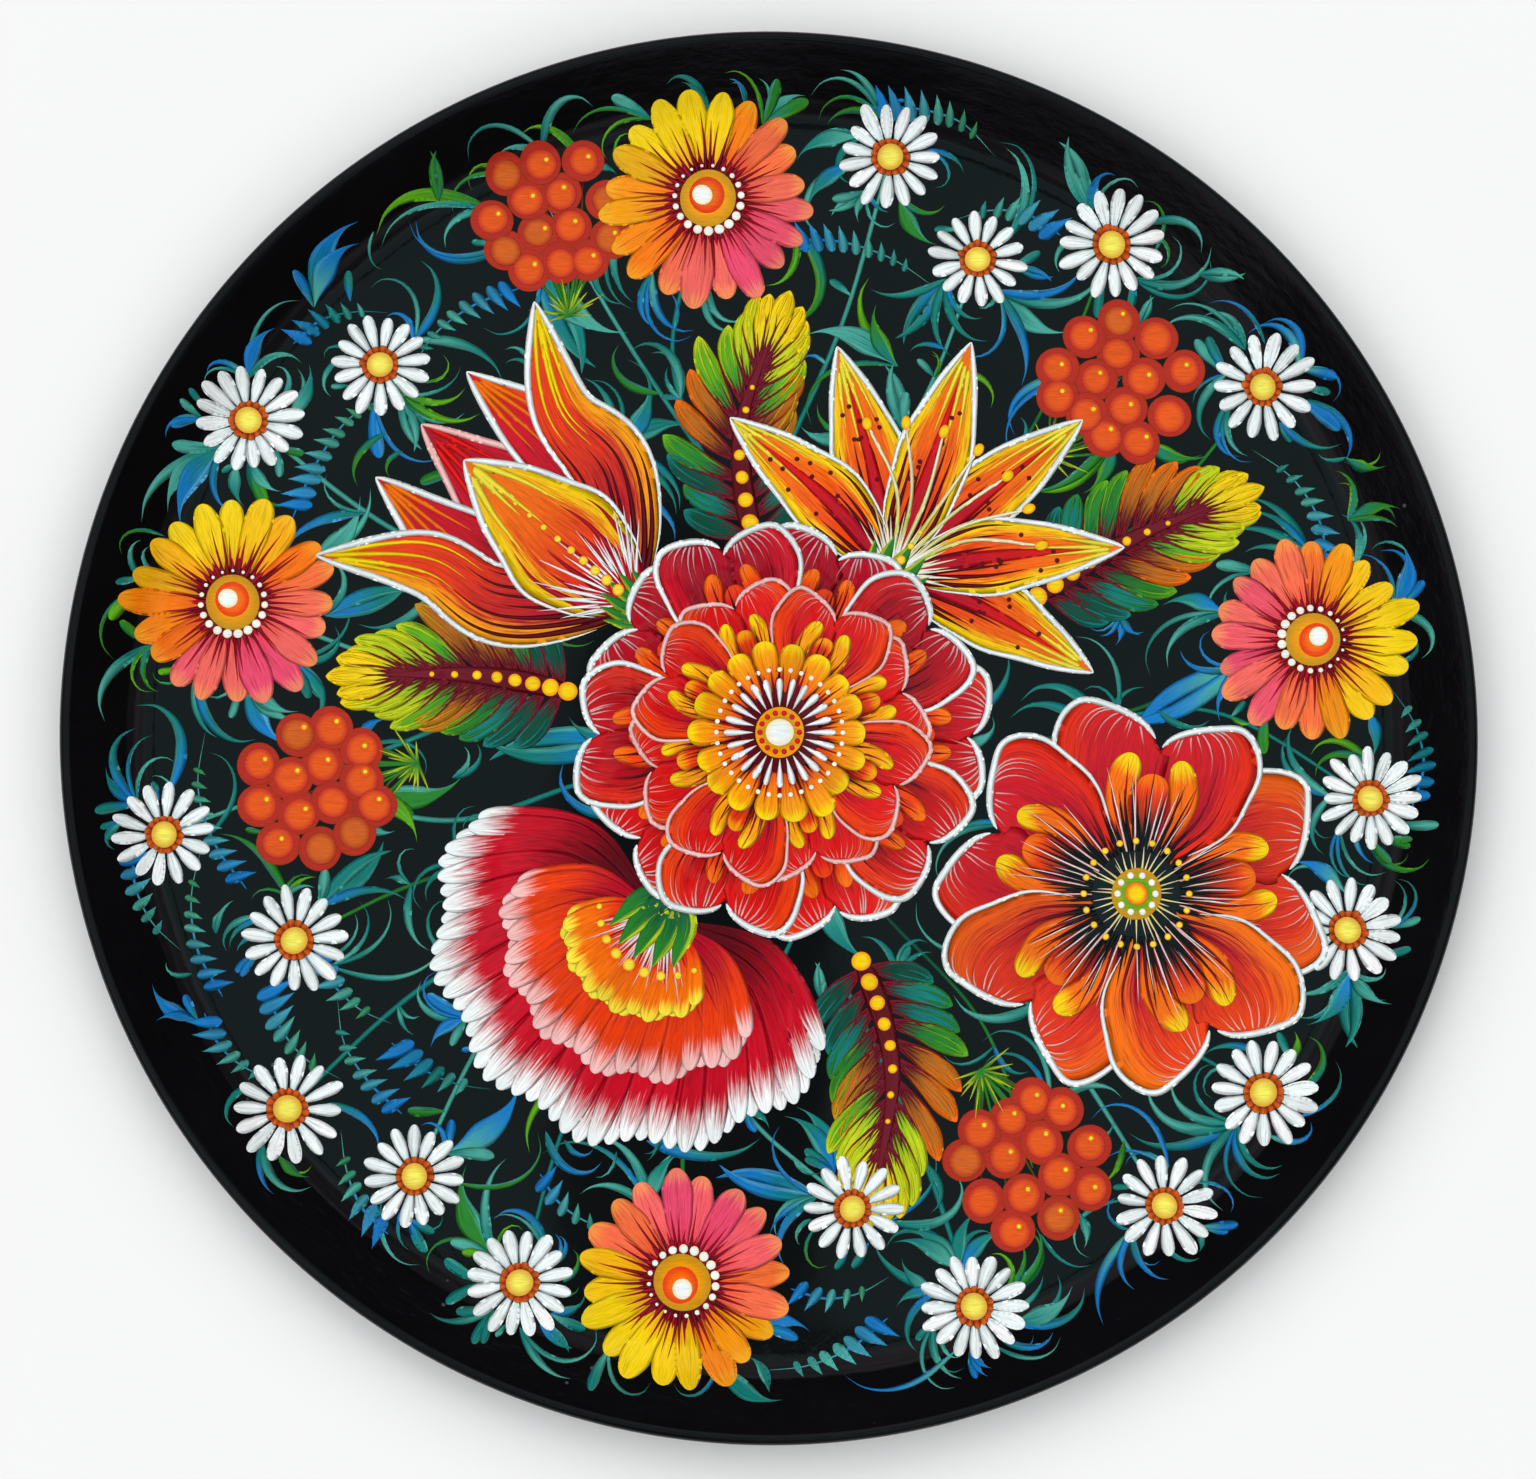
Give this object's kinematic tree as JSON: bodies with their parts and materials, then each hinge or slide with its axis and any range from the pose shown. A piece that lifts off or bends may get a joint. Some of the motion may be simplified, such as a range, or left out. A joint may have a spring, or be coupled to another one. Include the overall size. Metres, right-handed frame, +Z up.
{
  "type": "round painted tray",
  "caption": "Round black-lacquered steel tray with a low flared rim, wired edge and a painted bouquet of folk flowers on its face.",
  "frame": {"origin": "middle of the underside of the floor, on the surface that the tray lies on", "axes": "+Z up through the painted face, +Y towards the top of the painting, +X to its right"},
  "size_m": [0.35, 0.35, 0.014],
  "materials": {
    "lacquer": "glossy black lacquer over pressed sheet steel, hand painted on the face",
    "steel_wire": "drawn steel wire, bare inside the curl",
    "loop_lacquer": "satin black lacquer over steel wire",
    "solder": "solder under satin black lacquer"
  },
  "bodies": {
    "root": {"tray_pan": "lacquer", "rim_wire": "steel_wire", "hanging_loop": "loop_lacquer", "solder_joints": "solder"}
  },
  "joints": []
}
